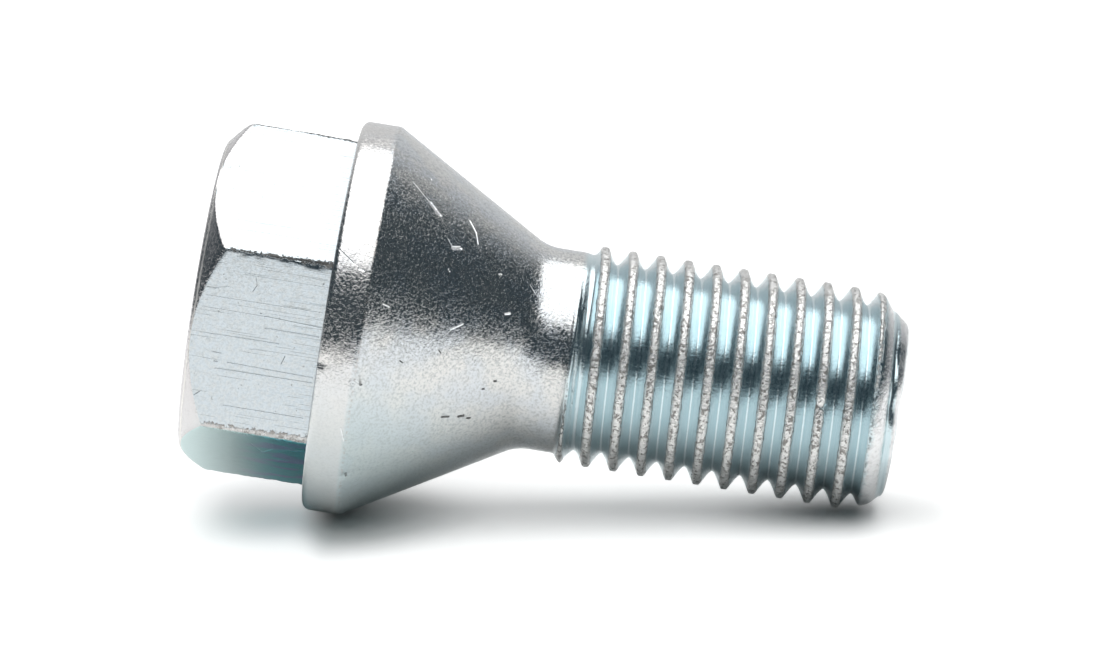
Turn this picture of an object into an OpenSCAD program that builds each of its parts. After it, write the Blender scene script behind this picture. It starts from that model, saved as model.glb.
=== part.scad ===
// Wheel bolt, forged in one piece: a hexagon head, a round collar, a conical
// seat that centres the wheel, a short plain shank and a rolled thread.
// It stands on its head with the thread's tip up. The z axis is its own axis,
// and x points to a corner of the hexagon.

/* [Head] */
// Width across the flats of the hexagon
hex_af = 16.8; // [15:0.1:21]
// Height of the hexagon, from the end face to the collar
hex_h = 7; // [5:0.1:12]
// Rounding of the hexagon's six long edges
hex_round = 0.3; // [0.1:0.05:1]
// How far the flat end face stays inside the hexagon's flats
face_rim = 0.2; // [0:0.05:1.5]
// Slope of the cone that bevels the hexagon's corners, from the end face
bevel_slope = 40; // [20:1:45]
// Rounding where the end face turns into the bevel
face_round = 0.5; // [0.1:0.1:1]

/* [Collar] */
// How far the collar stands out past the hexagon's corners
collar_rim = 0.8; // [0.3:0.1:3]
// Height of the collar's rim
collar_h = 2.05; // [1.5:0.05:5]
// Rounding of the collar's two corners
collar_round = 0.4; // [0.1:0.05:0.6]

/* [Seat] */
// Full angle of the cone that seats in the wheel
seat_angle = 60; // [50:1:90]
// Radius of the hollow between the seat and the shank
seat_fillet = 2.5; // [0.5:0.1:4]

/* [Shank] */
// Diameter of the plain shank, which is the blank that the thread is rolled on
shank_d = 10.9; // [10.7:0.1:11.2]
// Length of the plain shank, from the end of the seat to the thread
shank_l = 1.9; // [1.5:0.1:20]

/* [Thread] */
// Diameter over the crests of the thread
thread_d = 11.8; // [11.6:0.1:12.2]
// Distance from one turn to the next
pitch = 1.5; // [1.4:0.05:1.75]
// Depth of the thread, from crest to root
thread_depth = 0.92; // [0.8:0.02:0.96]
// Angle between the flanks of a groove
thread_angle = 60; // [55:1:62]
// Radius at the bottom of a groove
root_round = 0.12; // [0.08:0.01:0.14]
// Length of the threaded end
thread_l = 17.8; // [8:0.1:60]
// Direction in which the thread starts, from a corner of the hexagon
start_turn = 165; // [0:1:359]
// Diameter of the flat end at the tip
tip_d = 9.2; // [8:0.1:9.6]
// Slope of the bevel at the tip, from the axis
tip_slope = 37; // [20:1:45]
// Rounding where the bevel turns into the flat end
tip_round = 0.4; // [0.1:0.05:0.8]

/* [Hidden] */

$fn = 72;          // facets of the preview: the solids are true rounds
round_turn = 360;  // degrees
sides = 6;         // of the hexagon
arc_steps = 6;     // points along a rounded corner
turn_steps = 40;   // columns of the thread in one turn
past = 1;          // how far a cutting shape reaches past what it cuts
inset = 0.03;      // step where the thread comes out of the shank's end

hex_corner_r = hex_af / 2 / cos(round_turn / sides / 2);
collar_r = hex_corner_r + collar_rim;
face_r = hex_af / 2 - face_rim;
shank_r = shank_d / 2;
seat_h = (collar_r - shank_r) / tan(seat_angle / 2);
seat_z = hex_h + collar_h;
shank_z = seat_z + seat_h;
thread_z = shank_z + shank_l;
tip_z = thread_z + thread_l;

crest_r = thread_d / 2;
root_r = crest_r - thread_depth;
flank = thread_angle / 2;

// The groove is cut below the blank within half a turn. The crest, which is
// pressed up beside it, takes a turn and a half to grow. Both in turns.
groove_grows = [0.5, 1];
crest_grows = [0.3, 1.9];

function unit(v) = v / norm(v);

// Arc that rounds the corner b between the points a and c
function corner_arc(a, b, c, r) =
    let (u = unit(a - b), w = unit(c - b),
         half = acos(u * w) / 2,
         centre = b + unit(u + w) * r / sin(half),
         from = b + u * r / tan(half) - centre,
         to = b + w * r / tan(half) - centre,
         start = atan2(from[1], from[0]),
         sweep = (atan2(to[1], to[0]) - start + round_turn * 3 / 2) % round_turn - round_turn / 2)
    [for (k = [0 : arc_steps])
        let (t = start + sweep * k / arc_steps) centre + r * [cos(t), sin(t)]];

// Outline through corners of the form [x, y, radius]
function rounded(corners) =
    let (n = len(corners), at = function (k) [corners[k % n][0], corners[k % n][1]])
    [for (k = [0 : n - 1]) each
        corners[k][2] == 0
            ? [at(k)]
            : corner_arc(at(k + n - 1), at(k), at(k + 1), corners[k][2])];

// From 0 to 1 with soft ends, while t goes from span[0] to span[1]
function grow(t, span) =
    let (f = min(1, max(0, (t - span[0]) / (span[1] - span[0])))) f * f * (3 - 2 * f);

// Height of the thread's section over the root, at a distance from the groove's middle
function section_h(d) =
    let (tangent = root_round * cos(flank))
    d < tangent
        ? root_round - sqrt(root_round * root_round - d * d)
        : min(thread_depth,
              root_round * (1 - sin(flank)) + (d - tangent) / tan(flank));

// Half width of the groove where it meets the crest
groove_half = root_round * cos(flank)
    + (thread_depth - root_round * (1 - sin(flank))) * tan(flank);

// Places along one pitch, from the middle of a crest, where the section has points
section_at = [
    for (d = [groove_half, root_round * cos(flank), root_round / 2]) pitch / 2 - d,
    pitch / 2,
    for (d = [root_round / 2, root_round * cos(flank), groove_half]) pitch / 2 + d];

// Radius of the thread, at a place in its section and a number of turns from its start
function thread_r(place, turns) =
    let (rise = root_r + section_h(abs(place - pitch / 2)) - shank_r)
    shank_r - inset
        + (rise > 0 ? rise * grow(turns, crest_grows) : rise * grow(turns, groove_grows))
        + inset * grow(turns, groove_grows);

// The thread is one ribbon, wound round the core: each column crosses one pitch
// of the section, and the end of a column is the start of the one a turn later.
module threaded_core() {
    m = len(section_at);
    first = -turn_steps;
    last = ceil(turn_steps * (thread_l / pitch + 1 / 2));
    columns = last - first;
    base_z = thread_z - pitch / 4;    // keeps the first crest clear of the shank's end
    ribbon = [
        for (i = [first : last], place = section_at)
            let (turns = i / turn_steps + place / pitch,
                 r = thread_r(place, turns),
                 a = start_turn + round_turn * i / turn_steps)
            [r * cos(a), r * sin(a), base_z + pitch * turns]];
    low = len(ribbon);
    high = low + 1;
    // Point j of column i, where j may run on into the next turn
    function at(i, j) = j < m ? i * m + j : (i + turn_steps) * m + j - m;
    polyhedron(
        points = concat(ribbon, [
            [0, 0, base_z - 2 * pitch],
            [0, 0, base_z + pitch * (last / turn_steps + 1)]]),
        faces = [
            for (i = [0 : columns - 1], j = [0 : m - 1])
                if (j < m - 1 || i + 1 + turn_steps <= columns) each
                    [[at(i, j), at(i, j + 1), at(i + 1, j)],
                     [at(i + 1, j), at(i, j + 1), at(i + 1, j + 1)]],
            for (i = [0 : turn_steps - 1]) [low, at(i, 0), at(i + 1, 0)],
            for (j = [0 : m - 1]) [low, at(0, j + 1), at(0, j)],
            for (i = [columns - turn_steps : columns - 1])
                [high, at(i + 1, m - 1), at(i, m - 1)],
            for (j = [0 : m - 2])
                [high, at(columns, j), at(columns, j + 1)],
            [high, at(columns - turn_steps, m - 1), at(columns, 0)]]);
}

// Solid of revolution under an outline of corners
module turned(corners) {
    rotate_extrude() polygon(rounded(corners));
}

module hexagon_head() {
    reach = hex_corner_r + past;
    intersection() {
        linear_extrude(hex_h + collar_h / 2)
            polygon(rounded([for (a = [0 : round_turn / sides : round_turn - 1])
                [hex_corner_r * cos(a), hex_corner_r * sin(a), hex_round]]));
        turned([
            [0, 0, 0],
            [face_r, 0, face_round],
            [reach, (reach - face_r) * tan(bevel_slope), 0],
            [reach, seat_z, 0],
            [0, seat_z, 0]]);
    }
}

module collar_seat_and_shank() {
    turned([
        [0, hex_h, 0],
        [collar_r, hex_h, collar_round],
        [collar_r, seat_z, collar_round],
        [shank_r, shank_z, seat_fillet],
        [shank_r, thread_z, 0],
        [0, thread_z, 0]]);
}

// What is left of the threaded end once its tip is bevelled
module tip_limit() {
    reach = crest_r + past;
    turned([
        [0, seat_z, 0],
        [reach, seat_z, 0],
        [reach, tip_z - (reach - tip_d / 2) / tan(tip_slope), 0],
        [tip_d / 2, tip_z, tip_round],
        [0, tip_z, 0]]);
}

module wheel_bolt() {
    color([0.74, 0.78, 0.8]) {
        hexagon_head();
        collar_seat_and_shank();
        intersection() {
            threaded_core();
            tip_limit();
        }
    }
}

wheel_bolt();
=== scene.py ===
import math

import bmesh
import bpy
from mathutils import Matrix, Vector, geometry, noise


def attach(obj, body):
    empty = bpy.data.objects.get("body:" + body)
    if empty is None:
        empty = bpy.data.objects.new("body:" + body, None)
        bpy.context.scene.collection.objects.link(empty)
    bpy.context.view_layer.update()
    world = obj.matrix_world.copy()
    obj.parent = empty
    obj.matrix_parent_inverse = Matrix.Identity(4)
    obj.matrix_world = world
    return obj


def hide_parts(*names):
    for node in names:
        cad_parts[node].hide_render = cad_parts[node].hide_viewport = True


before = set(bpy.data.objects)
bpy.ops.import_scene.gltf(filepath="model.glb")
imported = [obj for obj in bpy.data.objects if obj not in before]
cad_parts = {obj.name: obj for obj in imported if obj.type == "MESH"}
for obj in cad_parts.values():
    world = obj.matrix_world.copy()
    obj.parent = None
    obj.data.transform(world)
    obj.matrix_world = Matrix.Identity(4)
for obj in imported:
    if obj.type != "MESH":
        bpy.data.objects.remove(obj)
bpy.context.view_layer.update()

# A wheel bolt in bright zinc plate: one forging, with a rolled thread. It stands
# on its head, and z is its axis. Sizes are in millimetres: MM turns them into
# metres, and METRE turns metres into them. They are those of the part's source,
# apart from what wear and the rolling of the thread have changed.

MM = 0.001
METRE = 1 / MM
TURN = 2 * math.pi

# The hexagon head.
SIDES = 6
SECTOR = TURN / SIDES
HEX_AF = 16.8
HEX_H = 7.0
HEX_ROUND = 0.22
HEX_FOOT_ROUND = 0.05
FACE_RIM = 0.2
FACE_ROUND = 0.5
BEVEL_SLOPE = math.radians(40)
BEVEL_ROUND = 0.12
CORNER_ROUND = 0.5

# How the hexagon's edges are battered: wider and deeper toward the collar.
EDGE_SPREAD = 0.22
EDGE_WEAR = 0.035
EDGE_WEAR_AT_COLLAR = 0.12
EDGE_WEAR_REACH = 0.45
EDGE_WEAR_FROM_Z = 0.3
TEARS_ROUND = 36.0
TEARS_ALONG = 2.6
TEARS_MEAN = 0.4
FINER_TEARS = 2.3
FINER_TEARS_SHARE = 0.7

# The collar, the conical seat and the plain shank.
COLLAR_RIM = 0.8
COLLAR_H = 2.05
COLLAR_ROUND = 0.4
SEAT_HALF_ANGLE = math.radians(30)
SEAT_FILLET = 2.5
SHANK_R = 5.45
SHANK_L = 1.9

# The thread and its bevelled tip, which is fuller on one side.
THREAD_L = 17.8
CREST_R = 5.9
THREAD_DEPTH = 0.92
PITCH = 1.5
FLANK = math.radians(30)
ROOT_ROUND = 0.12
START_TURN = math.radians(165)
TIP_R = 4.6
TIP_SLOPE = math.radians(37)
TIP_FULL_TURN = math.radians(150)
TIP_FULLER = 0.36
TIP_FULLER_REACH = 1.5

# What follows from these sizes. The body's outline ends at LATHE_END_Z, just
# below the end of the seat's fillet.
CORNER_R = HEX_AF / 2 / math.cos(SECTOR / 2)
FACE_R = HEX_AF / 2 - FACE_RIM
COLLAR_R = CORNER_R + COLLAR_RIM
SEAT_Z = HEX_H + COLLAR_H
SHANK_Z = SEAT_Z + (COLLAR_R - SHANK_R) / math.tan(SEAT_HALF_ANGLE)
FILLET_END_Z = SHANK_Z + SEAT_FILLET * math.tan(SEAT_HALF_ANGLE / 2)
LATHE_END_Z = FILLET_END_Z - 0.1
THREAD_Z = SHANK_Z + SHANK_L
TIP_Z = THREAD_Z + THREAD_L
BASE_Z = THREAD_Z - PITCH / 4
ROOT_R = CREST_R - THREAD_DEPTH

# The photograph's view. UP_TURN is the direction round the bolt that is up in
# the photograph. Seen from the camera, the axis falls by TILT to the right and
# comes nearer by YAW.
UP_TURN = math.radians(165.4)
TILT = math.radians(9.15)
YAW = math.radians(0.35)
HEAD_FROM_CAMERA = Vector((-18.5, 1.67, -300.0)) * MM
SENSOR = 36.0
LENS = 183.6
CLIP_START = 10.0

# The table that the bolt lies on in the photograph. It touches the collar's
# corner and the last full turn, TOUCH_BELOW_TIP under the end of the tip, and
# the camera looks down on it by TABLE_FALL.
TABLE_FALL = math.radians(12)
TABLE_BACK = 900.0
TABLE_SIDE = 700.0
TABLE_FRONT = 88.0
TOUCH_BELOW_TIP = 1.6

# How light the camera sees the paper. Its glow paints the bolt's shadow: it is
# dark at the two places where the bolt touches it, CONTACT_HALF to each side of
# the middle, and more so at the head. It gets lighter between the two, beyond
# them, beside the bolt and far off.
WHITE = (1.0, 1.0, 1.0, 1.0)
PAPER = (0.80, 0.80, 0.79, 1.0)
CONTACT_HALF = 13.6
CONTACT_FRONT = -2.0
OUTER_FALL = 3.5
HEAD_BLEND = 2.0
HEAD_SHADOW = 3.5
HEAD_SHADOW_REACH = 8.0
GLOW_BETWEEN = 0.31
BETWEEN_REACH = 9.0
GLOW_BEYOND = 0.25
BEYOND_REACH = (14.0, 30.0)
GLOW_BESIDE = 0.50
BESIDE_REACH = (0.5, 7.5)
GLOW_FAR = 0.66
FAR_REACH = (7.5, 90.0)

# How light the metal mirrors the paper: a glow with painted shade, low near the
# bolt.
MIRRORED_HALF = 15.2
MIRRORED_GLOW = 0.42
MIRRORED_REACH = (1.5, 9.5)
MIRRORED_FAR = 0.50

# The lamp over the table, with its size and place in metres, and the room.
SOFTBOX_SIZE = (0.40, 0.54)
SOFTBOX_PLACE = (0.0, -0.04, 0.30)
SOFTBOX_POWER = 1.38
ROOM_DARK = (0.058, 0.076, 0.088, 1.0)
ROOM_BACK = (0.77, 0.78, 0.79, 1.0)
ROOM_BACK_REACH = (0.26, 0.95)


class Field:
    """A value that a node gives at each point, with arithmetic."""

    def __init__(self, nodes, socket):
        self.nodes, self.socket = nodes, socket

    def math(self, operation, *others):
        return self.nodes.out("ShaderNodeMath", [self, *others], operation=operation)

    def __add__(self, other):
        return self.math("ADD", other)

    def __radd__(self, other):
        return self.math("ADD", other)

    def __sub__(self, other):
        return self.math("SUBTRACT", other)

    def __rsub__(self, other):
        return self.nodes.out("ShaderNodeMath", [other, self], operation="SUBTRACT")

    def __mul__(self, other):
        return self.math("MULTIPLY", other)

    def __rmul__(self, other):
        return self.math("MULTIPLY", other)

    def __truediv__(self, other):
        return self.math("DIVIDE", other)

    def __rtruediv__(self, other):
        return self.nodes.out("ShaderNodeMath", [other, self], operation="DIVIDE")

    def __neg__(self):
        return self * -1.0

    def __pow__(self, other):
        return self.math("POWER", other)

    def ramp(self, low, high, start=0.0, end=1.0, soft=True):
        """Goes from start to end while the value goes from low to high."""
        return self.nodes.out(
            "ShaderNodeMapRange",
            [self, low, high, start, end],
            interpolation_type="SMOOTHSTEP" if soft else "LINEAR",
        )


class Nodes:
    """Makes the nodes of one tree and links them."""

    def __init__(self, tree):
        self.tree = tree

    def add(self, kind, values=(), **settings):
        """A node with its settings, and its sockets' values by order or by name."""
        node = self.tree.nodes.new(kind)
        for name, value in settings.items():
            setattr(node, name, value)
        pairs = values.items() if isinstance(values, dict) else enumerate(values)
        for key, value in pairs:
            self.feed(node.inputs[key], value)
        return node

    def feed(self, socket, value):
        if isinstance(value, Field):
            self.tree.links.new(value.socket, socket)
        elif isinstance(value, bpy.types.NodeSocket):
            self.tree.links.new(value, socket)
        else:
            socket.default_value = value

    def out(self, kind, values=(), output=0, **settings):
        return Field(self, self.add(kind, values, **settings).outputs[output])

    def vector(self, x, y, z):
        return self.out("ShaderNodeCombineXYZ", [x, y, z])

    def mix(self, factor, a, b):
        """Colour a where the factor is 0 and b where it is 1."""
        node = self.add("ShaderNodeMix", {0: factor, 6: a, 7: b}, data_type="RGBA")
        return Field(self, node.outputs[2])

    def vector_math(self, operation, *values, output=0):
        return self.out(
            "ShaderNodeVectorMath", values, output=output, operation=operation)

    def dot(self, a, b):
        return self.vector_math("DOT_PRODUCT", a, b, output="Value")

    def moved(self, place, by):
        return self.vector_math("ADD", place, by)

    def scaled(self, place, by):
        return self.vector_math("MULTIPLY", place, by)

    def noise(self, place, scale, detail=2.0, rough=0.5, curl=0.0):
        """Smooth noise from 0 to 1. The scale is in lumps per unit of the place."""
        return self.out("ShaderNodeTexNoise", {
            "Vector": place, "Scale": scale, "Detail": detail,
            "Roughness": rough, "Distortion": curl,
        })


def up_and_near():
    """Unit vectors of the photograph's up and of the way to the camera.

    Both are square to the bolt's axis.
    """
    up = Vector((math.cos(UP_TURN), math.sin(UP_TURN), 0))
    near = Vector((-math.sin(UP_TURN), math.cos(UP_TURN), 0))
    return up, near


def camera_turn():
    """The rotation from the bolt's frame to the camera's frame."""
    axis = Vector((
        math.cos(TILT) * math.cos(YAW),
        -math.sin(TILT) * math.cos(YAW),
        math.sin(YAW),
    ))
    up = Vector((math.sin(TILT), math.cos(TILT), 0))
    up = (up - axis * up.dot(axis)).normalized()
    near = axis.cross(up)
    up_here, near_here = up_and_near()
    seen = Matrix((up, near, axis)).transposed()
    here = Matrix((up_here, near_here, Vector((0, 0, 1))))
    return seen @ here


def make_camera():
    """The photograph's camera."""
    data = bpy.data.cameras.new("camera")
    data.sensor_width = SENSOR
    data.lens = LENS
    data.clip_start = CLIP_START * MM
    camera = bpy.data.objects.new("camera", data)
    back = camera_turn().transposed()
    head = Matrix.Translation(back @ -HEAD_FROM_CAMERA)
    camera.matrix_world = head @ back.to_4x4()
    bpy.context.scene.collection.objects.link(camera)
    bpy.context.scene.camera = camera
    return camera


def table_frame(camera):
    """The table's place: x along the bolt, y away from the camera, z up."""
    turn = camera.matrix_world.to_3x3()
    rise = turn @ Vector((0, math.cos(TABLE_FALL), math.sin(TABLE_FALL)))
    down = (-rise - Vector((0, 0, 1)) * -rise.z).normalized()
    collar = (down * COLLAR_R + Vector((0, 0, SEAT_Z))) * MM
    tip = (down * CREST_R + Vector((0, 0, TIP_Z - TOUCH_BELOW_TIP))) * MM
    along = (tip - collar).normalized()
    normal = (rise - along * rise.dot(along)).normalized()
    axes = Matrix((along, normal.cross(along), normal)).transposed().to_4x4()
    return Matrix.Translation((collar + tip) / 2) @ axes


def link_mesh(name, mesh, matrix=None):
    if matrix is not None:
        mesh.transform(matrix)
    thing = bpy.data.objects.new(name, mesh)
    bpy.context.scene.collection.objects.link(thing)
    return thing


def make_table(place):
    """The paper. It ends in front of the bolt, where the room is dark."""
    side, front, back = TABLE_SIDE * MM, -TABLE_FRONT * MM, TABLE_BACK * MM
    corners = [(-side, front, 0), (side, front, 0), (side, back, 0), (-side, back, 0)]
    mesh = bpy.data.meshes.new("table")
    mesh.from_pydata(corners, [], [(0, 1, 2, 3)])
    table = link_mesh("table", mesh, place)
    table.data.materials.append(table_paper(place))


def new_material(name):
    material = bpy.data.materials.new(name)
    material.use_nodes = True
    nodes = Nodes(material.node_tree)
    material.node_tree.nodes.clear()
    return material, nodes


def object_place(n):
    """The place on the piece, in millimetres, and its parts."""
    here = n.add("ShaderNodeTexCoord").outputs["Object"]
    place = n.scaled(here, (METRE,) * 3)
    parts = n.add("ShaderNodeSeparateXYZ", [place])
    x, y, z = (Field(n, parts.outputs[k]) for k in range(3))
    return place, x, y, z


def table_paper(table_place):
    """Pale paper. It is clear from below, so that it hides nothing from there."""
    material, n = new_material("table_paper")
    path = n.add("ShaderNodeLightPath")
    seen = Field(n, path.outputs["Is Camera Ray"])
    mirrored = Field(n, path.outputs["Is Glossy Ray"])
    paper = n.add("ShaderNodeBsdfDiffuse", {"Color": PAPER})
    place, *_ = object_place(n)
    off = n.vector_math("SUBTRACT", place, table_place.translation / MM)
    along, across = (n.dot(off, table_place.col[k].xyz) for k in range(2))
    # Painted shade: the paper that the metal mirrors is darker near the bolt.
    below = mirrored_painted_shade(along, across)
    # Painted shadow: the paper's glow for the camera is dark where the bolt touches
    # it.
    level = painted_shadow_glow(along, across)
    glow = n.add("ShaderNodeEmission", {
        "Color": WHITE, "Strength": seen * level + mirrored * below})
    both = n.add("ShaderNodeAddShader", [paper.outputs[0], glow.outputs[0]])
    clear = n.add("ShaderNodeBsdfTransparent")
    back = n.add("ShaderNodeNewGeometry").outputs["Backfacing"]
    side = n.add("ShaderNodeMixShader", [back, both.outputs[0], clear.outputs[0]])
    n.add("ShaderNodeOutputMaterial", {"Surface": side.outputs[0]})
    return material


def mirrored_painted_shade(along, across):
    """How light the metal mirrors the paper, from the distance to the bolt: painted
    shade, low near the bolt.
    """
    beyond = (along.math("ABSOLUTE") - MIRRORED_HALF).math("MAXIMUM", 0.0)
    distance = (across * across + beyond * beyond).math("SQRT")
    near = distance.ramp(*MIRRORED_REACH, 0.0, MIRRORED_GLOW)
    more = MIRRORED_FAR - MIRRORED_GLOW
    return near + distance.ramp(*FAR_REACH, 0.0, more, soft=False)


def painted_shadow_glow(along, across):
    """How light the camera sees the paper: a glow that paints the bolt's shadow into
    it.
    """
    near = along.math("ABSOLUTE") - CONTACT_HALF
    near = (near * OUTER_FALL).math("MAXIMUM", -near)
    at_head = along.ramp(-HEAD_BLEND, HEAD_BLEND, 1.0, 0.0)
    wider = at_head * near.ramp(0.0, HEAD_SHADOW_REACH, HEAD_SHADOW, 0.0)
    across = (across - CONTACT_FRONT).math("ABSOLUTE") - wider
    level = near.ramp(0.0, BETWEEN_REACH, 0.0, GLOW_BETWEEN)
    level = level + near.ramp(*BEYOND_REACH, 0.0, GLOW_BEYOND)
    level = level + across.ramp(*BESIDE_REACH) * (GLOW_BESIDE - level)
    return level + across.ramp(*FAR_REACH, 0.0, GLOW_FAR - GLOW_BESIDE, soft=False)


def make_softbox(place):
    """One large soft lamp over the bolt."""
    data = bpy.data.lights.new("softbox", "AREA")
    data.shape = "RECTANGLE"
    data.size, data.size_y = SOFTBOX_SIZE
    data.energy = SOFTBOX_POWER
    lamp = bpy.data.objects.new("softbox", data)
    lamp.matrix_world = place @ Matrix.Translation(SOFTBOX_PLACE)
    lamp.visible_camera = False
    bpy.context.scene.collection.objects.link(lamp)


def make_world(place):
    """A dim room, paler behind the bolt, with a white background for the camera."""
    world = bpy.data.worlds.new("room")
    world.use_nodes = True
    world.node_tree.nodes.clear()
    n = Nodes(world.node_tree)
    away = place.to_3x3() @ Vector((0, 1, 0))
    behind = n.dot(n.add("ShaderNodeTexCoord").outputs["Generated"], away)
    wall = n.mix(behind.ramp(*ROOM_BACK_REACH), ROOM_DARK, ROOM_BACK)
    seen = n.add("ShaderNodeLightPath").outputs["Is Camera Ray"]
    colour = n.mix(seen, wall, WHITE)
    room = n.add("ShaderNodeBackground", {"Color": colour, "Strength": 1.0})
    n.add("ShaderNodeOutputWorld", {"Surface": room.outputs[0]})
    bpy.context.scene.world = world


# The body below the thread, as one outline for each direction round the axis.
# Its columns are closer together at the hexagon's corners and at the dents. A
# dent reaches DENT_REACH times its width.

COLUMNS_IN_SIDE = 46
CORNER_PULL = 0.7
DENT_COLUMNS = 9
DENT_STEP = math.radians(0.9)
CLOSEST_COLUMNS = math.radians(0.25)
END_RING_R = 0.6
LAST_ROW_GAP = 0.03
DENT_REACH = 2.5
TIP_DENTS_FROM_Z = TIP_Z - 1

# Dents in the metal: turn from the photograph's up in degrees, height, distance
# from the axis, width and depth.
DENTS = (
    (106.7, 9.14, 10.35, 0.38, 0.13),   # the collar's corner
    (104.0, 7.22, 10.40, 0.28, 0.08),   # the collar's rim
    (141.9, 9.10, 10.40, 0.22, 0.08),
    (97.2, 33.30, 5.85, 0.26, 0.22),    # crests of the thread
    (93.0, 32.55, 5.40, 0.18, 0.08),
    (84.0, 21.05, 5.85, 0.30, 0.12),
    (61.0, 24.2, 5.85, 0.20, 0.12),
    (52.0, 30.1, 5.85, 0.20, 0.14),
    (92.0, 37.35, 4.75, 0.80, 0.20),    # the tip's edge
    (58.0, 37.2, 4.90, 0.60, 0.10),
    (118.0, 37.2, 4.90, 0.50, 0.10),
    (205.0, 37.1, 4.90, 0.45, 0.12),
    (262.0, 9.10, 10.40, 0.35, 0.12),
    (318.0, 29.5, 5.85, 0.28, 0.14),
)


def column_angles():
    """The directions of the body's columns."""
    half = SECTOR / 2
    angles = []
    for side in range(SIDES):
        for k in range(COLUMNS_IN_SIDE):
            t = 2 * k / COLUMNS_IN_SIDE - 1
            pulled = CORNER_PULL * t ** 3 + (1 - CORNER_PULL) * t
            angles.append(side * SECTOR + half * pulled)
    for turn, height, *_ in DENTS:
        if height < SHANK_Z:
            middle = UP_TURN + math.radians(turn)
            steps = range(-DENT_COLUMNS, DENT_COLUMNS + 1)
            angles += [middle + k * DENT_STEP for k in steps]
    angles = sorted(a % TURN for a in angles)
    return [a for k, a in enumerate(angles)
            if a - angles[k - 1] > CLOSEST_COLUMNS or k == 0]


def off_corner(angle):
    """The angle to the nearest of the hexagon's corners."""
    return abs((angle + SECTOR / 2) % SECTOR - SECTOR / 2)


def worn_edge(angle, z):
    """How far the hexagon's edges are battered back."""
    off = off_corner(angle) * CORNER_R
    near_edge = max(0.0, 1 - off / EDGE_WEAR_REACH) ** 2
    spot = Vector((math.cos(angle), math.sin(angle), 0)) * TEARS_ROUND
    spot += Vector((0, 0, z * TEARS_ALONG))
    finer = FINER_TEARS_SHARE * noise.noise(spot * FINER_TEARS)
    torn = max(0.0, TEARS_MEAN + noise.noise(spot) + finer)
    return near_edge * torn * (EDGE_WEAR + EDGE_WEAR_AT_COLLAR * (z / HEX_H) ** 3)


def dent_all(verts):
    """Pushes in the verts near each dent, and those of the tip's edge also down."""
    for turn, height, radius, width, depth in DENTS:
        centre = round_axis(turn, radius, height) * MM
        for vert in verts:
            away = (vert.co - centre).length / (width * MM)
            if away < DENT_REACH:
                inward = Vector((-vert.co.x, -vert.co.y, 0)).normalized()
                if height > TIP_DENTS_FROM_Z:
                    inward = (inward - Vector((0, 0, 1))).normalized()
                vert.co += inward * depth * MM * math.exp(-away ** 2)


def round_axis(turn, radius, height):
    """A place in millimetres, from its turn in degrees from the photograph's up."""
    angle = UP_TURN + math.radians(turn)
    return Vector((radius * math.cos(angle), radius * math.sin(angle), height))


def hexagon_r(angle, rounding=HEX_ROUND):
    """Distance from the axis to the rounded hexagon."""
    half = SECTOR / 2
    off = off_corner(angle)
    centre = (HEX_AF / 2 - rounding) / math.cos(half)
    touch = math.atan2(
        rounding * math.sin(half), centre + rounding * math.cos(half))
    if off < touch:
        across = centre * math.sin(off)
        return centre * math.cos(off) + math.sqrt(rounding ** 2 - across ** 2)
    return HEX_AF / 2 / math.cos(half - off)


def corner_arc(before, corner, after, radius, steps):
    """The points of the arc that rounds off a corner."""
    u, w = (before - corner).normalized(), (after - corner).normalized()
    half = math.acos(max(-1.0, min(1.0, u.dot(w)))) / 2
    centre = corner + (u + w).normalized() * radius / math.sin(half)
    a = corner + u * radius / math.tan(half) - centre
    b = corner + w * radius / math.tan(half) - centre
    sweep = a.angle_signed(b)
    points = []
    for k in range(steps + 1):
        t = -sweep * k / steps
        cosine, sine = math.cos(t), math.sin(t)
        spoke = Vector((a.x * cosine - a.y * sine, a.x * sine + a.y * cosine))
        points.append(centre + spoke)
    return points


def body_corners(angle):
    """The corners of the body's outline in one direction, from the end face up.

    The fuller the hexagon is there, the rounder is its bevel's edge.
    """
    hexagon = hexagon_r(angle)
    fuller = (hexagon - HEX_AF / 2) / (CORNER_R - HEX_AF / 2)
    bevel_z = (hexagon - FACE_R) * math.tan(BEVEL_SLOPE)
    return [
        # radius, height, rounding, steps round the corner, steps to the next
        (END_RING_R, 0, 0, 0, 9),
        (FACE_R, 0, FACE_ROUND, 5, 7),
        (hexagon, bevel_z, BEVEL_ROUND + CORNER_ROUND * fuller, 4, 41),
        (hexagon, HEX_H, HEX_FOOT_ROUND, 2, 4),
        (COLLAR_R, HEX_H, COLLAR_ROUND, 6, 10),
        (COLLAR_R, SEAT_Z, COLLAR_ROUND, 6, 30),
        (SHANK_R, SHANK_Z, SEAT_FILLET, 10, 1),
        (SHANK_R, THREAD_Z, 0, 0, 0),
    ]


def body_outline(angle):
    """The points (radius, height) of the body's outline in one direction."""
    corners = body_corners(angle)
    spots = [Vector(c[:2]) for c in corners]
    arcs = []
    for k, (_, _, rounding, steps, _) in enumerate(corners):
        if rounding:
            arcs.append(corner_arc(*spots[k - 1:k + 2], rounding, steps))
        else:
            arcs.append([spots[k]])
    outline = []
    for k, arc in enumerate(arcs[:-1]):
        steps = corners[k][4]
        outline += arc
        outline += [arc[-1].lerp(arcs[k + 1][0], s / steps) for s in range(1, steps)]
    outline = [p for p in outline + arcs[-1] if p.y < LATHE_END_Z - LAST_ROW_GAP]
    return outline + [Vector((blank_r(LATHE_END_Z), LATHE_END_Z))]


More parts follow.
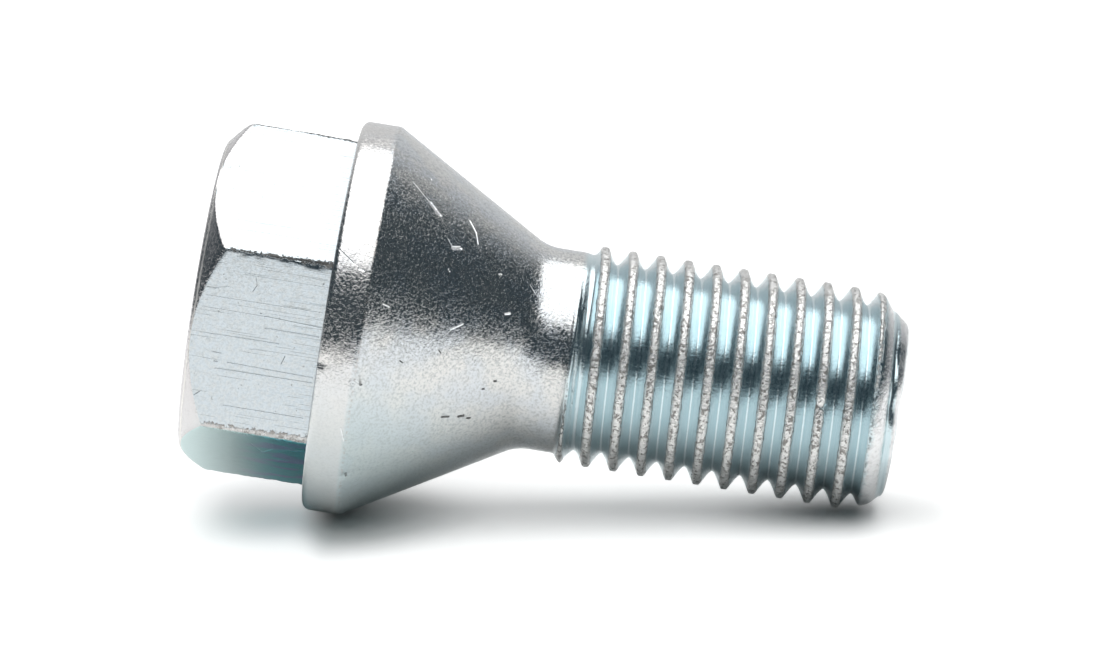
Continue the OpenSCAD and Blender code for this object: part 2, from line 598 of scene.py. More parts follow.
def add_body(bm):
    """Adds the body's skin to bm, and returns its last ring of vertices."""
    rings = []
    for angle in column_angles():
        way = Vector((math.cos(angle), math.sin(angle)))
        column = []
        for p in body_outline(angle):
            r = p.x
            if EDGE_WEAR_FROM_Z < p.y < HEX_H and r < CORNER_R:
                spread = EDGE_SPREAD * (p.y / HEX_H) ** 2
                worn = hexagon_r(angle, HEX_ROUND + spread)
                r = min(r, worn) - worn_edge(angle, p.y)
            column.append(bm.verts.new((r * way.x * MM, r * way.y * MM, p.y * MM)))
        rings.append(column)
    neighbours = list(zip(rings, rings[1:] + rings[:1]))
    for column, following in neighbours:
        for j in range(len(column) - 1):
            bm.faces.new((column[j], following[j], following[j + 1], column[j + 1]))
    centre = bm.verts.new((0, 0, 0))
    for column, following in neighbours:
        bm.faces.new((centre, following[0], column[0]))
    return [column[-1] for column in rings]


# The thread is a ribbon: a grid of turns by one pitch, wound round the axis. It
# starts before its first turn, and it is longer than the thread by PAST_TIP,
# with which it follows the tip's bevel and flat end.

COLUMNS_IN_TURN = 180
ROWS_IN_PITCH = 20
PAST_TIP = 1.2
FIRST_TURN = -0.6
LAST_TURN = (THREAD_L + PAST_TIP) / PITCH + 1.0

# How softly its roots, its crests and the bevel's edges are blended, and over
# which turns its crest and its groove grow.
ROOT_SOFT = 0.6
CREST_SOFT = 0.08
TIP_SOFT = 0.5
CREST_GROWS = (0.2, 0.62)
GROOVE_GROWS = (0.3, 1.3)

# The crests are uneven, where the metal that was pressed up met the die. Their
# lumps are counted per metre.
UNEVEN = 0.14
UNEVEN_FROM = 0.7
UNEVEN_GROWS = (0.2, 0.8)
UNEVEN_LUMPS = 1300.0
UNEVEN_SEED = 3.0


def thread_sizes():
    """What the thread's tree is given, in metres, radians and turns."""
    return {
        "Pitch": PITCH * MM,
        "Root radius": ROOT_R * MM,
        "Depth": THREAD_DEPTH * MM,
        "Shank radius": SHANK_R * MM,
        "Start height": BASE_Z * MM,
        "Start angle": START_TURN,
        "First turn": FIRST_TURN,
        "Turns": LAST_TURN - FIRST_TURN,
        "Tip height": TIP_Z * MM,
        "Tip radius": TIP_R * MM,
        "Tip slope": TIP_SLOPE,
        "Seed": UNEVEN_SEED,
    }


def flat_ribbon(n, size):
    """The grid, and each point's turn and its share of the pitch."""
    turns = size["Turns"]
    grid = n.add("GeometryNodeMeshGrid", {"Size X": turns, "Size Y": 1.0})
    # A column and a row more than there are steps. The half rounds the columns.
    n.feed(grid.inputs["Vertices X"], turns * COLUMNS_IN_TURN + 1.5)
    n.feed(grid.inputs["Vertices Y"], ROWS_IN_PITCH + 1)
    spot = n.add("GeometryNodeInputPosition").outputs[0]
    flat = n.add("ShaderNodeSeparateXYZ", [spot])
    turn = Field(n, flat.outputs["X"]) + turns * 0.5 + size["First turn"]
    return grid, turn, Field(n, flat.outputs["Y"]) + 0.5


def tip_bevel(size, crest, wound, angle):
    """The ribbon's height, and how far from the axis it may be.

    Past the bevel's start, the ribbon follows the bevel and then the flat end.
    """
    fall, along = size["Tip slope"].math("SINE"), size["Tip slope"].math("COSINE")
    bevel = (crest - size["Tip radius"]) / fall
    bevel_z = size["Tip height"] - bevel * along
    past = wound - bevel_z
    on_bevel = past.math("SMOOTH_MIN", bevel, TIP_SOFT * MM)
    z = bevel_z + past.math("MINIMUM", 0.0) + on_bevel.math("MAXIMUM", 0.0) * along
    fuller = (angle - UP_TURN - TIP_FULL_TURN).math("COSINE")
    fuller = fuller * past.ramp(0.0, TIP_FULLER_REACH * MM) * (TIP_FULLER * MM)
    return z, crest - on_bevel * fall - (past - on_bevel) + fuller


def rolled_section(size, turn, z):
    """The section: flanks between rounded roots and crests, on the shank.

    Gives the distance from the axis, the height over the root and the turns so far.
    """
    total = (z - size["Start height"]) / size["Pitch"]
    off = ((total - turn).math("FRACT") - 0.5).math("ABSOLUTE") * size["Pitch"]
    reach = ROOT_ROUND * (math.cos(FLANK) - (1 - math.sin(FLANK)) * math.tan(FLANK))
    height = (off - reach * MM) / math.tan(FLANK)
    height = height.math("SMOOTH_MAX", 0.0, ROOT_SOFT * MM)
    height = height.math("SMOOTH_MIN", size["Depth"], CREST_SOFT * MM)
    rise = size["Root radius"] + height - size["Shank radius"]
    grown = rise.math("MAXIMUM", 0.0) * total.ramp(*CREST_GROWS)
    cut = rise.math("MINIMUM", 0.0) * total.ramp(*GROOVE_GROWS)
    in_fillet = (FILLET_END_Z * MM - z).math("MAXIMUM", 0.0)
    hollow = in_fillet ** 2.0 / (2 * SEAT_FILLET * MM)
    return size["Shank radius"] + grown + cut + hollow, height, total


def thread_tree(sizes):
    """Geometry nodes that wind the ribbon, with its runout and its bevelled tip."""
    tree = bpy.data.node_groups.new("rolled_thread", "GeometryNodeTree")
    face = tree.interface
    for name in sizes:
        face.new_socket(name=name, in_out="INPUT", socket_type="NodeSocketFloat")
    face.new_socket(
        name="Material", in_out="INPUT", socket_type="NodeSocketMaterial")
    face.new_socket(
        name="Geometry", in_out="OUTPUT", socket_type="NodeSocketGeometry")
    n = Nodes(tree)
    given = n.add("NodeGroupInput")
    size = {name: Field(n, given.outputs[name]) for name in sizes}

    grid, turn, share = flat_ribbon(n, size)
    angle = size["Start angle"] + turn * TURN
    cosine, sine = angle.math("COSINE"), angle.math("SINE")
    wound = size["Start height"] + (turn + share) * size["Pitch"]
    crest = size["Root radius"] + size["Depth"]
    z, limit = tip_bevel(size, crest, wound, angle)
    rolled, height, total = rolled_section(size, turn, z)

    uneven = n.out("ShaderNodeTexNoise", {
        "Vector": n.vector(cosine * crest, sine * crest, z), "W": size["Seed"],
        "Scale": UNEVEN_LUMPS, "Detail": 4.0, "Roughness": 0.65,
    }, noise_dimensions="4D") - 0.5
    on_crest = height.ramp(UNEVEN_FROM * THREAD_DEPTH * MM, THREAD_DEPTH * MM)
    rolled = rolled + uneven * on_crest * total.ramp(*UNEVEN_GROWS) * (UNEVEN * MM)
    radius = rolled.math("SMOOTH_MIN", limit, TIP_SOFT * MM)

    moved = n.add("GeometryNodeSetPosition", {
        "Geometry": grid.outputs["Mesh"],
        "Position": n.vector(radius * cosine, radius * sine, z),
    })
    solid = n.add("GeometryNodeRealizeInstances", [moved.outputs[0]])
    coated = n.add("GeometryNodeSetMaterial", {
        "Geometry": solid.outputs[0], "Material": given.outputs["Material"]})
    n.add("NodeGroupOutput", [coated.outputs[0]])
    return tree


def wind_thread(material):
    """The thread's ribbon as a plain mesh."""
    sizes = thread_sizes()
    blank = bpy.data.objects.new("thread_blank", bpy.data.meshes.new("thread_blank"))
    bpy.context.scene.collection.objects.link(blank)
    wound = blank.modifiers.new("thread", "NODES")
    wound.node_group = thread_tree(sizes)
    for item in wound.node_group.interface.items_tree:
        if item.in_out == "INPUT":
            wound[item.identifier] = sizes.get(item.name, material)
    ready = blank.evaluated_get(bpy.context.evaluated_depsgraph_get())
    mesh = bpy.data.meshes.new_from_object(ready)
    bpy.data.objects.remove(blank)
    return mesh


# The seams: how far apart two vertices are that are welded, how the triangles of
# a filled outline are asked for, and the grid in the band below the thread.
WELD = 0.002
INSIDE = 1
SAME_POINT = 1e-7
BAND_STEP = 0.12


def add_thread(bm, material):
    """Adds the thread to bm and welds its turns. Returns its lower and upper rim."""
    before = set(bm.verts)
    bm.from_mesh(wind_thread(material))
    ribbon = [v for v in bm.verts if v not in before]
    bmesh.ops.remove_doubles(bm, verts=ribbon, dist=WELD * MM)
    rims = rim_loops([v for v in bm.verts if v not in before and v.is_boundary])
    return sorted(rims, key=lambda rim: sum(v.co.z for v in rim) / len(rim))


def rim_loops(open_verts):
    """The open rims as lists of vertices in order, the same in each run."""
    left = dict.fromkeys(open_verts)
    rims = []
    while left:
        rim = [left.popitem()[0]]
        while True:
            edges = [e for e in rim[-1].link_edges if e.is_boundary]
            following = [e.other_vert(rim[-1]) for e in edges]
            following = [v for v in following if v in left]
            if not following:
                break
            left.pop(following[0])
            rim.append(following[0])
        rims.append(rim)
    return rims


def unrolled(rim, first):
    """The rim's vertices from the one nearest first, with angles that keep growing."""
    angles = [math.atan2(v.co.y, v.co.x) for v in rim]
    steps = [(b - a + math.pi) % TURN - math.pi
             for a, b in zip(angles, angles[1:] + angles[:1])]
    if sum(steps) < 0:
        return unrolled(rim[::-1], first)
    at = min(range(len(rim)), key=lambda k: (rim[k].co - first).length)
    order = rim[at:] + rim[:at] + [rim[at]]
    angle = angles[at]
    flat = []
    for k, vert in enumerate(order):
        if k:
            angle += steps[(at + k - 1) % len(rim)]
        flat.append((vert, angle))
    return flat


def blank_r(z):
    """Distance from the axis to the plain shank, with the end of the seat's fillet."""
    return SHANK_R + max(0.0, FILLET_END_Z - z) ** 2 / (2 * SEAT_FILLET)


def fill(points, outline):
    """The triangles that fill an outline, each as the numbers of its points."""
    _, _, faces, origin, _, _ = geometry.delaunay_2d_cdt(
        points, [], [outline], INSIDE, SAME_POINT)
    return [[origin[k][0] for k in face] for face in faces]


def join_rims(bm, ring, rim):
    """Fills the band between the body's last ring and the ribbon's stepped rim."""
    lowest = min(rim, key=lambda v: v.co.z)
    upper = unrolled(rim, lowest.co)
    lower = unrolled(ring, lowest.co)
    first = upper[0][1]
    shift = round((first - lower[0][1]) / TURN) * TURN
    band = [(v, a + shift) for v, a in lower] + upper[::-1]
    around = list(range(len(band)))
    for _, angle in lower[1:-1]:
        climb = (angle + shift - first) / TURN * PITCH
        top = lowest.co.z + climb * MM - BAND_STEP * MM
        z = LATHE_END_Z + BAND_STEP
        while z * MM < top:
            way = Vector((math.cos(angle), math.sin(angle), 0))
            vert = bm.verts.new(way * blank_r(z) * MM + Vector((0, 0, z * MM)))
            band.append((vert, angle + shift))
            z += BAND_STEP
    points = [Vector((a * SHANK_R, v.co.z / MM)) for v, a in band]
    for triangle in fill(points, around):
        corners = [band[k][0] for k in triangle]
        if len(set(corners)) == len(corners):
            bm.faces.new(corners)


def close_end(bm, rim):
    """Fills the flat end of the tip."""
    points = [Vector((v.co.x, v.co.y)) * METRE for v in rim]
    for triangle in fill(points, list(range(len(rim)))):
        bm.faces.new([rim[k] for k in triangle])


# The finishes by their numbers, and where each begins on the forging.
FORGED, DRAWN, ROLLED = range(3)
ROLLED_FROM_Z = LATHE_END_Z - 0.05
FLATS_TO_Z = HEX_H - 0.02
FLATS_FROM_R = FACE_R - 0.3
FACING_END = -0.2


def finish_at(face):
    """The number of the finish that a face takes."""
    middle = face.calc_center_median() / MM
    if middle.z > ROLLED_FROM_Z:
        return ROLLED
    on_flat = middle.z < FLATS_TO_Z and middle.xy.length > FLATS_FROM_R
    return DRAWN if on_flat and face.normal.z > FACING_END else FORGED


def make_bolt():
    """The whole forging as one mesh, with a finish on each of its faces."""
    finishes = [forged_zinc(), drawn_zinc(), rolled_zinc()]
    bm = bmesh.new()
    ring = add_body(bm)
    lower, upper = add_thread(bm, finishes[ROLLED])
    join_rims(bm, ring, lower)
    close_end(bm, upper)
    dent_all(bm.verts)
    bmesh.ops.recalc_face_normals(bm, faces=bm.faces)
    for face in bm.faces:
        face.smooth = True
        face.material_index = finish_at(face)
    mesh = bpy.data.meshes.new("forging")
    bm.to_mesh(mesh)
    bm.free()
    for finish in finishes:
        mesh.materials.append(finish)
    bolt = link_mesh("forging", mesh)
    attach(bolt, "root")
    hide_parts("wheel_bolt")


# The finishes. Places and heights in them are in millimetres, and turns are in
# degrees from the photograph's up. The first two turns are those of the flat
# that faces the table, with its film and painted shade, and of the edge that is
# worn light.

FACING_TABLE_TURN = 164.6
WORN_EDGE_TURN = 134.6

# Nicks that shine, scratches in the flats and dark pits, each a straight groove.
NICKS = (
    # from turn and height, to turn and height, half width, depth
    (39.5, 10.3, 46.0, 11.8, 0.035, 0.02),
    (43.6, 11.35, 46.6, 11.95, 0.16, 0.08),
    (46.9, 11.75, 46.4, 12.05, 0.07, 0.04),
    (40.2, 13.5, 44.7, 13.96, 0.08, 0.05),
    (44.7, 13.96, 49.7, 14.16, 0.05, 0.035),
    (57.3, 12.93, 55.8, 13.3, 0.14, 0.08),
    (54.6, 12.6, 57.3, 12.93, 0.05, 0.02),
    (66.5, 12.9, 66.9, 12.95, 0.06, 0.04),
    (59.1, 15.5, 58.4, 15.62, 0.06, 0.04),
    (76.6, 16.15, 75.6, 16.4, 0.07, 0.04),
    (84.6, 9.9, 84.9, 10.2, 0.07, 0.04),
    (31.8, 11.16, 32.2, 11.2, 0.05, 0.04),
    (88.5, 13.48, 85.3, 14.09, 0.05, 0.03),
    (71.0, 7.2, 74.3, 8.03, 0.07, 0.035),
    (75.7, 8.4, 76.0, 8.65, 0.09, 0.04),
    (56.2, 17.2, 63.4, 17.75, 0.05, 0.035),
    (123.0, 8.72, 127.5, 8.96, 0.05, 0.03),
)
FLAT_MARKS = (
    # from turn and height, to turn and height, half width, depth
    (90.0, 0.7, 89.8, 6.8, 0.035, 0.02),
    (94.1, 0.6, 94.2, 3.9, 0.030, 0.015),
    (94.2, 3.9, 95.1, 6.9, 0.050, 0.03),
    (103.4, 0.7, 103.2, 4.8, 0.040, 0.02),
    (98.3, 4.0, 98.4, 6.8, 0.045, 0.02),
    (112.9, 2.3, 113.5, 6.8, 0.040, 0.02),
    (115.6, 1.7, 115.4, 6.8, 0.040, 0.02),
    (127.5, 2.4, 127.6, 6.6, 0.035, 0.02),
    (87.0, 0.7, 87.1, 1.15, 0.05, 0.02),
    (87.1, 1.15, 86.0, 1.8, 0.04, 0.02),
    (81.9, 3.15, 84.1, 3.26, 0.026, 0.01),
    (84.1, 3.26, 86.3, 3.08, 0.026, 0.01),
    (107.3, 5.22, 110.4, 5.08, 0.028, 0.01),
    (109.7, 1.42, 109.9, 1.9, 0.03, 0.01),
    (113.1, 1.6, 113.0, 1.75, 0.05, 0.02),
    (125.7, 0.8, 124.2, 1.08, 0.03, 0.01),
    (145.9, 3.97, 155.8, 4.6, 0.06, 0.03),
    (155.8, 4.6, 149.2, 5.14, 0.06, 0.03),
    (164.0, 5.4, 163.0, 6.7, 0.06, 0.03),
    (147.5, 6.2, 145.1, 6.8, 0.06, 0.03),
)
PITS = (
    # from turn and height, to turn and height, half width, depth
    (124.0, 13.75, 124.4, 14.1, 0.08, 0.05),
    (125.2, 14.6, 125.2, 14.85, 0.10, 0.06),
    (126.9, 15.05, 127.1, 15.2, 0.08, 0.05),
    (108.9, 16.15, 108.9, 16.25, 0.07, 0.05),
    (112.6, 15.6, 112.6, 15.7, 0.06, 0.04),
    (151.7, 17.6, 151.7, 17.75, 0.09, 0.06),
    (106.2, 9.3, 108.6, 9.42, 0.12, 0.06),
    (141.2, 9.26, 142.6, 9.3, 0.10, 0.05),
    (96.5, 13.1, 97.4, 13.2, 0.06, 0.03),
    (101.0, 11.2, 101.6, 11.35, 0.05, 0.03),
)


def skin_place(turn, height):
    """A place on the skin below the thread, in millimetres."""
    if height < HEX_H:
        return round_axis(turn, hexagon_r(UP_TURN + math.radians(turn)), height)
    cone = COLLAR_R - max(0.0, height - SEAT_Z) * math.tan(SEAT_HALF_ANGLE)
    return round_axis(turn, max(cone, SHANK_R), height)


def marks(n, place, rows):
    """How far the place is in a mark, up to 1 in its middle, and how deep."""
    inside, depth = None, None
    for turn_a, z_a, turn_b, z_b, half_width, deep in rows:
        start, end = skin_place(turn_a, z_a), skin_place(turn_b, z_b)
        along = end - start
        off = n.vector_math("SUBTRACT", place, start)
        share = n.dot(off, along / along.length_squared).ramp(0, 1, soft=False)
        nearest = n.scaled(n.vector(share, share, share), along)
        distance = n.vector_math("DISTANCE", off, nearest, output="Value")
        here = distance.ramp(0, half_width, 1, 0)
        inside = here if inside is None else inside.math("MAXIMUM", here)
        depth = here * deep if depth is None else depth.math("MAXIMUM", here * deep)
    return inside, depth


def out_toward(n, place, turn):
    """How far out the place is in one direction, a turn from the photograph's up."""
    return n.dot(place, round_axis(turn, 1.0, 0.0))


def metal_skin(n, colour, rough, height):
    """The plated metal, with its height in millimetres."""
    bump = n.add("ShaderNodeBump", {
        "Height": height, "Strength": 1.0, "Distance": MM})
    skin = n.add("ShaderNodeBsdfPrincipled", {
        "Base Color": colour, "Metallic": 1.0, "Roughness": rough,
        "Normal": bump.outputs[0],
    })
    n.add("ShaderNodeOutputMaterial", {"Surface": skin.outputs[0]})


# The forged skin: blue to warm, with a grey grain, and with painted shade, a
# darker teal, on the side that faces the table in the photograph, for the shaded
# paper that it mirrors.
FORGED_BLUE = (0.63, 0.655, 0.68, 1)
FORGED_WARM = (0.69, 0.685, 0.67, 1)
FORGED_GRAIN = (0.46, 0.475, 0.475, 1)
UNDERSIDE_PAINTED_SHADE = (0.50, 0.62, 0.63, 1)
UNDERSIDE_PAINTED_SHADE_REACH = (4.0, 9.5)
FORGED_WAVE_H = 0.02
FORGED_GRAIN_H = 0.008
FORGED_LUMP_H = 0.0055


def forged_skin(n, place):
    """Height, roughness and colour of the forged skin under plate."""
    wave = n.noise(place, 1.3, 2.0)
    grain = n.noise(place, 7.0, 3.0, 0.65)
    lump = n.noise(place, 6.6, 3.0, 0.65, curl=0.35).ramp(0.46, 0.66)
    spangle = n.noise(n.moved(place, (31.0, 0.0, 0.0)), 5.5, 3.0, 0.7)
    cloud = n.noise(n.moved(place, (0.0, 47.0, 0.0)), 0.5, 3.0)
    height = wave * FORGED_WAVE_H + grain * FORGED_GRAIN_H + lump * FORGED_LUMP_H
    rough = 0.08 + spangle.ramp(0.44, 0.66) * 0.17 + cloud * 0.04
    tone = n.mix(cloud.ramp(0.38, 0.62), FORGED_BLUE, FORGED_WARM)
    tone = n.mix(grain.ramp(0.55, 0.36) * 0.8, tone, FORGED_GRAIN)
    # Painted shade: the side that faces the table is tinted a darker teal, for the
    # shaded paper it mirrors.
    lower = out_toward(n, place, FACING_TABLE_TURN).ramp(*UNDERSIDE_PAINTED_SHADE_REACH)
    tone = n.mix(lower * 0.6, tone, UNDERSIDE_PAINTED_SHADE)
    return height, rough, tone


# The collar and the head's end are warmer than the seat, with a brown seam at
# the collar's corner and a painted highlight, a thin pale line, round the face's
# edge.
COLLAR_TONE = (0.745, 0.715, 0.70, 1)
COLLAR_FADE = 0.3
BEVEL_TONE = (0.60, 0.575, 0.58, 1)
BEVEL_FADE = (0.6, 1.8)
SEAM_TONE = (0.45, 0.38, 0.34, 1)
SEAM_HALF = 0.12
FACE_EDGE_HIGHLIGHT_TONE = (0.90, 0.88, 0.84, 1)
FACE_EDGE_Z = 0.2
FACE_EDGE_WANDER = 0.12
FACE_EDGE_HALF = (0.02, 0.07)
FACE_EDGE_DEPTH = 0.02
PIT_TONE = (0.10, 0.09, 0.08, 1)
NICK_TONE = (0.93, 0.94, 0.95, 1)


def forged_zinc():
    """The seat, the collar, the shank and the head's end, with nicks and pits."""
    material, n = new_material("forged_zinc")
    place, _, _, z = object_place(n)
    height, rough, tone = forged_skin(n, place)
    nick, nick_depth = marks(n, place, NICKS)
    pit, pit_depth = marks(n, place, PITS)
    wander = (n.noise(place, 1.2, 2.0) - 0.5) * FACE_EDGE_WANDER
    # Painted highlight: a thin pale line round the face's edge, with a shallow groove.
    edge = (z + wander - FACE_EDGE_Z).math("ABSOLUTE").ramp(*FACE_EDGE_HALF, 1, 0)
    collar = z.ramp(SEAT_Z - COLLAR_FADE, SEAT_Z, 1, 0)
    seam = (z - SEAT_Z).math("ABSOLUTE").ramp(0.0, SEAM_HALF, 1, 0)
    seam = seam * rough.ramp(0.12, 0.16)
    tone = n.mix(collar * 0.5, tone, COLLAR_TONE)
    tone = n.mix(z.ramp(*BEVEL_FADE, 1, 0) * 0.7, tone, BEVEL_TONE)
    tone = n.mix(seam * 0.35, tone, SEAM_TONE)
    tone = n.mix(pit * 0.85, tone, PIT_TONE)
    tone = n.mix(nick * 0.8, tone, NICK_TONE)
    # The painted highlight round the face's edge.
    tone = n.mix(edge * 0.8, tone, FACE_EDGE_HIGHLIGHT_TONE)
    rough = rough + pit * 0.3 + edge * 0.3
    height = height - nick_depth - pit_depth - edge * FACE_EDGE_DEPTH
    metal_skin(n, tone, rough, height)
    return material


# The flats, which are drawn finer toward the collar.
DRAWN_BLUE = (0.55, 0.60, 0.635, 1)
DRAWN_WARM = (0.59, 0.62, 0.63, 1)
DRAWN_GRAIN = (0.42, 0.47, 0.50, 1)
DRAWN_FINE = (0.40, 0.48, 0.54, 1)
LINE_TONE = (0.26, 0.29, 0.30, 1)
FLECK_TONE = (0.30, 0.30, 0.28, 1)
FINER_FROM_Z = 2.5
SHORT_LINES_FROM_Z = 5.2
DRAWN_WAVE_H = 0.008
DRAWN_FINE_H = 0.0018
DRAWN_GRAIN_H = 0.006
LINE_DEPTH = 0.0025
FLECK_DEPTH = 0.006

# The hexagon's edges, torn and dark. One of them is worn light.
TORN_TONE = (0.07, 0.063, 0.055, 1)
WORN_TONE = (0.70, 0.67, 0.65, 1)
WORN_PIT_TONE = (0.16, 0.14, 0.12, 1)
WORN_FROM_R = (8.9, 9.2)
TORN_WIDTH = 0.8
TORN_AT_COLLAR = 0.13
WORN_WIDER = 0.14
TORN_RIM = 0.06
TORN_FROM_Z = (0.9, 1.6)
TORN_DEPTH = 0.08

# The lower flat's teal-green tone, partly its film and partly painted shade for
# the shaded paper that it mirrors, and its film, teal to violet. Both stop short
# of its edges.
FILM_AND_SHADE_TONE = (0.55, 0.75, 0.73, 1)
FILM_TEAL = (0.03, 0.50, 0.56, 1)
FILM_VIOLET = (0.24, 0.30, 0.58, 1)
FILM_FROM_Z = (2.8, 5.8)
FILM_AND_SHADE_RIM = (0.04, 0.005)


def drawn_lines(n, place, z):
    """Fine lines drawn along the axis, single dark ones, and the scratches."""
    to_collar = z.ramp(FINER_FROM_Z, HEX_H, soft=False)
    fine = n.noise(n.scaled(place, (1.0, 1.0, 0.012)), 11.0, 3.0, 0.7)
    long = n.noise(n.scaled(place, (1.0, 1.0, 0.01)), 17.0, 0.0)
    short = n.noise(n.scaled(place, (1.0, 1.0, 0.03)), 15.0, 0.0)
    line = (long + to_collar * 0.01).ramp(0.75, 0.79) * 0.7
    short = short + z.ramp(SHORT_LINES_FROM_Z, HEX_H) * 0.14
    line = line.math("MAXIMUM", short.ramp(0.77, 0.81) * 0.7)
    scratch, scratch_depth = marks(n, place, FLAT_MARKS)
    streak = fine.ramp(0.5, 0.7) * to_collar
    return fine, streak, line.math("MAXIMUM", scratch), scratch_depth


def torn_edges(n, place, x, y, z):
    """The hexagon's torn edges, how torn they are, and the one that is worn light."""
    share = y.math("ARCTAN2", x) / SECTOR + 0.5
    off = (share.math("FRACT") - 0.5).math("ABSOLUTE") * SECTOR * CORNER_R
    torn = n.noise(place, 4.0, 4.0, 0.75)
    worn = out_toward(n, place, WORN_EDGE_TURN).ramp(*WORN_FROM_R)
    strip = off + (torn - 0.5) * TORN_WIDTH
    strip = strip - (z / HEX_H) ** 3.0 * TORN_AT_COLLAR - worn * WORN_WIDER
    edge = strip.ramp(0.0, TORN_RIM, 1, 0) * z.ramp(*TORN_FROM_Z)
    return edge, torn, worn


def add_film_and_shade(n, place, z, tone):
    """Adds the film and painted shade to the flat that faces the table in the
    photograph.
    """
    from_rim, to_rim = (HEX_AF / 2 - off for off in FILM_AND_SHADE_RIM)
    film_and_shade = out_toward(n, place, FACING_TABLE_TURN).ramp(from_rim, to_rim)
    # Partly the plate's film, partly painted shade: this teal-green tone stands for
    # the shaded paper the flat mirrors.
    tone = n.mix(film_and_shade * 0.75, tone, FILM_AND_SHADE_TONE)
    tint = n.noise(n.scaled(place, (1.0, 1.0, 0.35)), 1.1, 2.0)
    film = n.mix(tint.ramp(0.5, 0.64), FILM_TEAL, FILM_VIOLET)
    return n.mix(film_and_shade * z.ramp(*FILM_FROM_Z) * 0.85, tone, film)


def drawn_zinc():
    """The hexagon's flats: drawn lines, scratches, flecks and torn edges."""
    material, n = new_material("drawn_zinc")
    place, x, y, z = object_place(n)
    fine, streak, line, scratch_depth = drawn_lines(n, place, z)
    grain = n.noise(place, 8.0, 3.0, 0.7)
    wave = n.noise(place, 0.9, 2.0)
    mottle = n.noise(place, 3.2, 4.0, 0.65)
    fleck = n.noise(n.moved(place, (0.0, 0.0, 19.0)), 4.5, 2.0).ramp(0.71, 0.78)
    edge, torn, worn = torn_edges(n, place, x, y, z)
    height = wave * DRAWN_WAVE_H + fine * DRAWN_FINE_H + grain * DRAWN_GRAIN_H
    height = height - line * LINE_DEPTH - fleck * FLECK_DEPTH - scratch_depth
    height = height - edge * torn * TORN_DEPTH
    rough = 0.15 + mottle.ramp(0.4, 0.7) * 0.1 + edge * 0.12
    tone = n.mix(mottle.ramp(0.35, 0.65), DRAWN_BLUE, DRAWN_WARM)
    tone = n.mix(grain.ramp(0.56, 0.40) * 0.45, tone, DRAWN_GRAIN)
    tone = n.mix(streak * 0.45, tone, DRAWN_FINE)
    tone = n.mix(line * 0.6, tone, LINE_TONE)
    tone = n.mix(fleck * 0.6, tone, FLECK_TONE)
    tone = n.mix(edge * 0.85, tone, n.mix(worn, TORN_TONE, WORN_TONE))
    pitted = edge * worn * torn.ramp(0.50, 0.40)
    tone = n.mix(pitted * 0.55, tone, WORN_PIT_TONE)
    metal_skin(n, add_film_and_shade(n, place, z, tone), rough, height)
    return material


# The thread: blue grooves, pale crests with dark specks, and a dark lip between
# them. Near the tip, the crest's finish spreads over all but the root.
GROOVE_BLUE = (0.60, 0.705, 0.735, 1)
GROOVE_DEEP = (0.45, 0.59, 0.64, 1)
GROOVE_PALE = (0.76, 0.80, 0.82, 1)
CREST_TONE = (0.79, 0.785, 0.77, 1)
TIP_TONE = (0.76, 0.765, 0.77, 1)
SPECK_TONE = (0.15, 0.14, 0.125, 1)
LIP_TONE = (0.14, 0.16, 0.16, 1)
CREST_WANDER = 0.34
CREST_FROM = (0.22, 0.16)
LIP_DEPTH = 0.2
LIP_HALF = 0.05
TIP_CREST_FROM = (1.5, 1.1)
TIP_CREST_WANDER = 0.5
TIP_CREST_OFF_ROOT = (0.08, 0.2)
THREAD_FADE = 0.4
CREST_FADE = 0.2
END_RIM = (0.14, 0.03)
RINGS_H = 0.006
ROLLED_GRAIN_H = 0.014
CREST_GRAIN_H = 0.035
CREST_SPECK_H = 0.04
LIP_H = 0.02


def below_tip(z, spans, *levels):
    """A ramp of the height between two distances below the end of the tip."""
    return z.ramp(TIP_Z - spans[0], TIP_Z - spans[1], *levels)


def thread_zones(n, place, radius, phase, z):
    """Where the crests are, the dark lips below them, the tip and the grooves."""
    crest_r = radius + (n.noise(place, 3.2, 4.0, 0.7) - 0.5) * CREST_WANDER
    wander = (n.noise(place, 2.0, 2.0) - 0.5) * TIP_CREST_WANDER
    off_root = (phase - 0.5).math("ABSOLUTE").ramp(*TIP_CREST_OFF_ROOT)
    tip = below_tip(z + wander, TIP_CREST_FROM) * off_root
    on_thread = z.ramp(THREAD_Z - CREST_FADE, THREAD_Z + THREAD_FADE)
    body = below_tip(z, END_RIM, 1, 0)
    crest = crest_r.ramp(*(CREST_R - depth for depth in CREST_FROM))
    crest = crest.math("MAXIMUM", tip) * on_thread * body
    lip = (crest_r - (CREST_R - LIP_DEPTH)).math("ABSOLUTE").ramp(0.0, LIP_HALF, 1, 0)
    lip = lip * on_thread * (1 - tip)
    groove = z.ramp(THREAD_Z, THREAD_Z + THREAD_FADE) * body
    return crest, lip, tip, groove


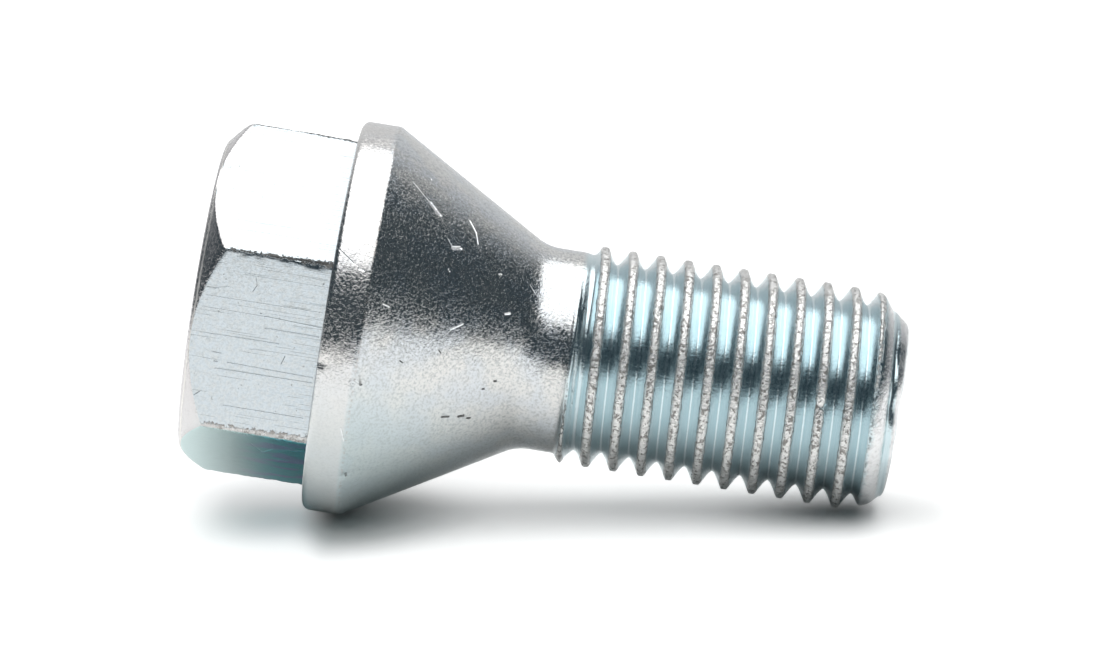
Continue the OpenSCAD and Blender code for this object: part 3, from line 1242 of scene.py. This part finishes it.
def rolled_zinc():
    """The thread: blue grooves with fine rings, and rough specked crests."""
    material, n = new_material("rolled_zinc")
    place, x, y, z = object_place(n)
    radius = (x * x + y * y).math("SQRT")
    turn = y.math("ARCTAN2", x)
    phase = ((z - BASE_Z) / PITCH - (turn - START_TURN) / TURN).math("FRACT")
    way = n.vector(phase * PITCH, x / radius, y / radius)
    rings = n.noise(n.scaled(way, (9.0, 1.5, 1.5)), 1.0, 2.0, 0.6)
    way = n.vector(phase * PITCH, z, turn.math("COSINE"))
    rings_fine = n.noise(n.scaled(way, (22.0, 0.6, 2.0)), 1.0, 2.0)
    crest, lip, tip, groove = thread_zones(n, place, radius, phase, z)
    grain = n.noise(place, 7.0, 3.0, 0.65, curl=0.8)
    speck = n.noise(n.moved(place, (0.0, 23.0, 0.0)), 4.6, 4.0, 0.75)
    dark = speck.ramp(0.51, 0.58) * crest * (1 - tip * 0.8)
    skin_height, skin_rough, skin_tone = forged_skin(n, place)
    height = rings * RINGS_H + grain * ROLLED_GRAIN_H
    rougher = grain * CREST_GRAIN_H + speck * CREST_SPECK_H
    height = height + crest * (1 - tip * 0.6) * rougher
    height = (height - lip * LIP_H) * groove + skin_height * (1 - groove)
    rough = 0.11 + rings.ramp(0.4, 0.7) * 0.06 + grain.ramp(0.5, 0.62) * 0.07
    rough = rough + crest * 0.04 + dark * 0.15
    rough = rough * groove + skin_rough * (1 - groove)
    tone = n.mix(rings_fine.ramp(0.5, 0.75) * 0.5, GROOVE_BLUE, GROOVE_DEEP)
    tone = n.mix(rings.ramp(0.55, 0.75) * 0.6, tone, GROOVE_PALE)
    tone = n.mix(groove, skin_tone, tone)
    tone = n.mix(crest, tone, n.mix(tip, CREST_TONE, TIP_TONE))
    tone = n.mix(dark * 0.8, tone, SPECK_TONE)
    tone = n.mix(lip * 0.6, tone, LIP_TONE)
    metal_skin(n, tone, rough, height)
    return material


bpy.context.scene.view_settings.view_transform = "Standard"
camera = make_camera()
table_place = table_frame(camera)
make_table(table_place)
make_softbox(table_place)
make_world(table_place)
make_bolt()
